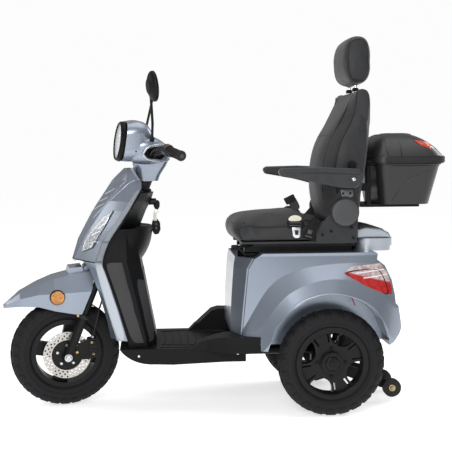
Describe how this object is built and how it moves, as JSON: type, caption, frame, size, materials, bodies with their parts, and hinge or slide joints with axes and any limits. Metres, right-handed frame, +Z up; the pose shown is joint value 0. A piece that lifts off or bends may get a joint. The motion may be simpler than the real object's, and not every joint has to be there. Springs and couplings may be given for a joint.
{
  "type": "electric three-wheel mobility scooter",
  "caption": "Three-wheel electric seat scooter with leg shield, step-through floor, adjustable armchair seat, lidded rear box and anti-tip casters.",
  "frame": {"origin": "on the ground under the centre of the whole vehicle, steering turned to the left as it parks", "axes": "-X towards the nose, -Y towards the vehicle's left side, +Z up"},
  "size_m": [1.755, 0.6903, 1.4627],
  "materials": {
    "frame_paint": "semi-gloss black paint",
    "body_paint": "metallic blue-grey lacquer",
    "dark_plastic": "grained black plastic",
    "rubber": "moulded rubber",
    "steel": "bright plated steel",
    "clear_lens": "clear lamp lens",
    "red_lens": "red lamp lens",
    "amber_lens": "amber lamp lens",
    "spring_red": "red coil springs",
    "cast_black": "black cast alloy",
    "tyre": "tyre rubber",
    "seat_fabric": "black vinyl over foam",
    "belt_web": "woven webbing",
    "arm_pad": "padded vinyl"
  },
  "bodies": {
    "chassis": {"main_frame": "frame_paint", "floorboard": "dark_plastic", "leg_shield": "body_paint", "knee_panel": "dark_plastic", "steering_bellows": "rubber", "ignition_keys": "steel", "front_marker_lamps": "clear_lens", "battery_pack": "dark_plastic", "rear_axle": "frame_paint", "shock_absorbers": "spring_red", "rear_body": "body_paint", "pedestal_panel": "dark_plastic", "tail_lamps": "red_lens", "rear_deck": "dark_plastic", "seat_rails": "frame_paint"},
    "steering": {"front_fork": "frame_paint", "front_fender": "body_paint", "fender_lamps": "amber_lens", "headset_cowl": "body_paint", "headlamp_bezel": "steel", "headlamp_lens": "clear_lens", "handlebar": "frame_paint", "handlebar_grips": "rubber", "mirrors": "dark_plastic", "brake_calliper": "cast_black", "brake_hose": "rubber"},
    "front_wheel": {"front_tyre": "tyre", "front_rim": "cast_black", "brake_disc": "steel"},
    "rear_wheel_left": {"rear_tyre_left": "tyre", "rear_rim_left": "cast_black"},
    "rear_wheel_right": {"rear_tyre_right": "tyre", "rear_rim_right": "cast_black"},
    "casters": {"caster_wheels": "rubber"},
    "seat": {"seat_frame": "frame_paint", "seat_cushion": "seat_fabric", "seat_belt": "belt_web"},
    "backrest": {"seat_back": "seat_fabric", "headrest": "seat_fabric", "back_brackets": "frame_paint", "box_rack": "frame_paint", "top_box": "dark_plastic"},
    "left_armrest": {"armrest_left": "arm_pad"},
    "right_armrest": {"armrest_right": "arm_pad"},
    "lid": {"box_lid": "dark_plastic"}
  },
  "joints": [
    {"name": "steering_turn", "type": "hinge", "parent": "chassis", "child": "steering", "pos_m": [-0.6015, 0, 0.19837], "axis": [0.3746, 0, 0.9272], "range_deg": [-50.6, 25.4]},
    {"name": "front_wheel_spin", "type": "hinge", "parent": "steering", "child": "front_wheel", "pos_m": [-0.64493, -0.01047, 0.21592], "axis": [-0.2023, 0.9759, 0.0817], "continuous": true},
    {"name": "rear_wheel_left_spin", "type": "hinge", "parent": "chassis", "child": "rear_wheel_left", "pos_m": [0.38, -0.27, 0.2055], "axis": [0, 1, 0], "continuous": true},
    {"name": "rear_wheel_right_spin", "type": "hinge", "parent": "chassis", "child": "rear_wheel_right", "pos_m": [0.38, 0.27, 0.2055], "axis": [0, 1, 0], "continuous": true},
    {"name": "caster_spin", "type": "hinge", "parent": "chassis", "child": "casters", "pos_m": [0.665, 0, 0.052], "axis": [0, 1, 0], "continuous": true},
    {"name": "seat_slide", "type": "slide", "parent": "chassis", "child": "seat", "axis": [1, 0, 0], "range_m": [-0.1, 0]},
    {"name": "backrest_tilt", "type": "hinge", "parent": "seat", "child": "backrest", "pos_m": [0.437, 0, 0.775], "axis": [0, 1, 0], "range_deg": [-10, 15]},
    {"name": "left_armrest_lift", "type": "hinge", "parent": "backrest", "child": "left_armrest", "pos_m": [0.466, -0.251, 0.901], "axis": [0, 1, 0], "range_deg": [0, 85]},
    {"name": "right_armrest_lift", "type": "hinge", "parent": "backrest", "child": "right_armrest", "pos_m": [0.466, 0.251, 0.901], "axis": [0, 1, 0], "range_deg": [0, 85]},
    {"name": "lid_hinge", "type": "hinge", "parent": "backrest", "child": "lid", "pos_m": [0.556, 0, 0.962], "axis": [0, -1, 0], "range_deg": [0, 28]}
  ]
}
